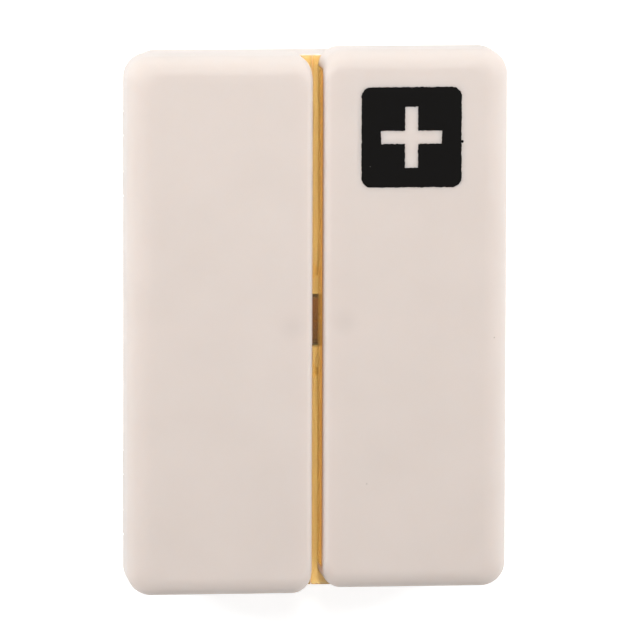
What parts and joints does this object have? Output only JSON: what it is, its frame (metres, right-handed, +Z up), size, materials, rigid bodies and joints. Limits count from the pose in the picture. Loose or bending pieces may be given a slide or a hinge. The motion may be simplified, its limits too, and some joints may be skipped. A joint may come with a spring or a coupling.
{
  "type": "folding pill case",
  "caption": "Folding pill case: a shallow base tray under hinged wings that close over it like double doors, with amber flip lids, magnet closure and a printed cross badge.",
  "frame": {"origin": "on the underside of the base tray, under the middle of the closed case", "axes": "+X across the case towards the wing with the badge, +Y along the case towards the badge end, +Z up from the base to the wings' faces"},
  "size_m": [0.0668, 0.096, 0.0281],
  "materials": {
    "pale_plastic": "satin moulded plastic, warm off-white",
    "amber_plastic": "translucent amber",
    "steel": "drawn wire",
    "nickel": "nickel plated",
    "ink": "pad-printed black ink"
  },
  "bodies": {
    "base": {"base_tray": "pale_plastic", "base_lid_rod_left": "steel", "base_lid_rod_right": "steel", "hinge_pin_upper_left": "steel", "hinge_pin_upper_right": "steel", "hinge_pin_lower_left": "steel", "hinge_pin_lower_right": "steel", "base_magnet": "nickel"},
    "left_wing": {"left_wing_shell": "pale_plastic", "wing_lid_rod_left": "steel", "left_wing_magnet": "nickel"},
    "right_wing": {"right_wing_shell": "pale_plastic", "wing_lid_rod_right": "steel", "right_wing_magnet": "nickel", "cross_badge": "ink"},
    "upper_left_base_lid": {"base_lid_upper_left": "amber_plastic"},
    "lower_left_base_lid": {"base_lid_lower_left": "amber_plastic"},
    "upper_right_base_lid": {"base_lid_upper_right": "amber_plastic"},
    "lower_right_base_lid": {"base_lid_lower_right": "amber_plastic"},
    "upper_left_wing_lid": {"wing_lid_upper_left": "amber_plastic"},
    "lower_left_wing_lid": {"wing_lid_lower_left": "amber_plastic"},
    "upper_right_wing_lid": {"wing_lid_upper_right": "amber_plastic"},
    "lower_right_wing_lid": {"wing_lid_lower_right": "amber_plastic"}
  },
  "joints": [
    {"name": "left_wing_hinge", "type": "hinge", "parent": "base", "child": "left_wing", "pos_m": [-0.03225, 0, 0.0166], "axis": [0, -1, 0], "range_deg": [0, 180]},
    {"name": "right_wing_hinge", "type": "hinge", "parent": "base", "child": "right_wing", "pos_m": [0.03225, 0, 0.0166], "axis": [0, 1, 0], "range_deg": [0, 180]},
    {"name": "upper_left_base_lid_hinge", "type": "hinge", "parent": "base", "child": "upper_left_base_lid", "pos_m": [-0.0272, 0, 0.0147], "axis": [0, -1, 0], "range_deg": [0, 90]},
    {"name": "lower_left_base_lid_hinge", "type": "hinge", "parent": "base", "child": "lower_left_base_lid", "pos_m": [-0.0272, 0, 0.0147], "axis": [0, -1, 0], "range_deg": [0, 90]},
    {"name": "upper_right_base_lid_hinge", "type": "hinge", "parent": "base", "child": "upper_right_base_lid", "pos_m": [0.0272, 0, 0.0147], "axis": [0, 1, 0], "range_deg": [0, 90]},
    {"name": "lower_right_base_lid_hinge", "type": "hinge", "parent": "base", "child": "lower_right_base_lid", "pos_m": [0.0272, 0, 0.0147], "axis": [0, 1, 0], "range_deg": [0, 90]},
    {"name": "upper_left_wing_lid_hinge", "type": "hinge", "parent": "left_wing", "child": "upper_left_wing_lid", "pos_m": [-0.0281, 0, 0.0185], "axis": [0, 1, 0], "range_deg": [0, 90]},
    {"name": "lower_left_wing_lid_hinge", "type": "hinge", "parent": "left_wing", "child": "lower_left_wing_lid", "pos_m": [-0.0281, 0, 0.0185], "axis": [0, 1, 0], "range_deg": [0, 90]},
    {"name": "upper_right_wing_lid_hinge", "type": "hinge", "parent": "right_wing", "child": "upper_right_wing_lid", "pos_m": [0.0281, 0, 0.0185], "axis": [0, -1, 0], "range_deg": [0, 90]},
    {"name": "lower_right_wing_lid_hinge", "type": "hinge", "parent": "right_wing", "child": "lower_right_wing_lid", "pos_m": [0.0281, 0, 0.0185], "axis": [0, -1, 0], "range_deg": [0, 90]}
  ],
  "couplings": [
    {"joint": "upper_left_base_lid_hinge", "follows": "left_wing_hinge", "ratio": 0.5},
    {"joint": "lower_left_base_lid_hinge", "follows": "left_wing_hinge", "ratio": 0.5},
    {"joint": "upper_left_wing_lid_hinge", "follows": "left_wing_hinge", "ratio": 0.5},
    {"joint": "lower_left_wing_lid_hinge", "follows": "left_wing_hinge", "ratio": 0.5},
    {"joint": "upper_right_base_lid_hinge", "follows": "right_wing_hinge", "ratio": 0.5},
    {"joint": "lower_right_base_lid_hinge", "follows": "right_wing_hinge", "ratio": 0.5},
    {"joint": "upper_right_wing_lid_hinge", "follows": "right_wing_hinge", "ratio": 0.5},
    {"joint": "lower_right_wing_lid_hinge", "follows": "right_wing_hinge", "ratio": 0.5}
  ]
}
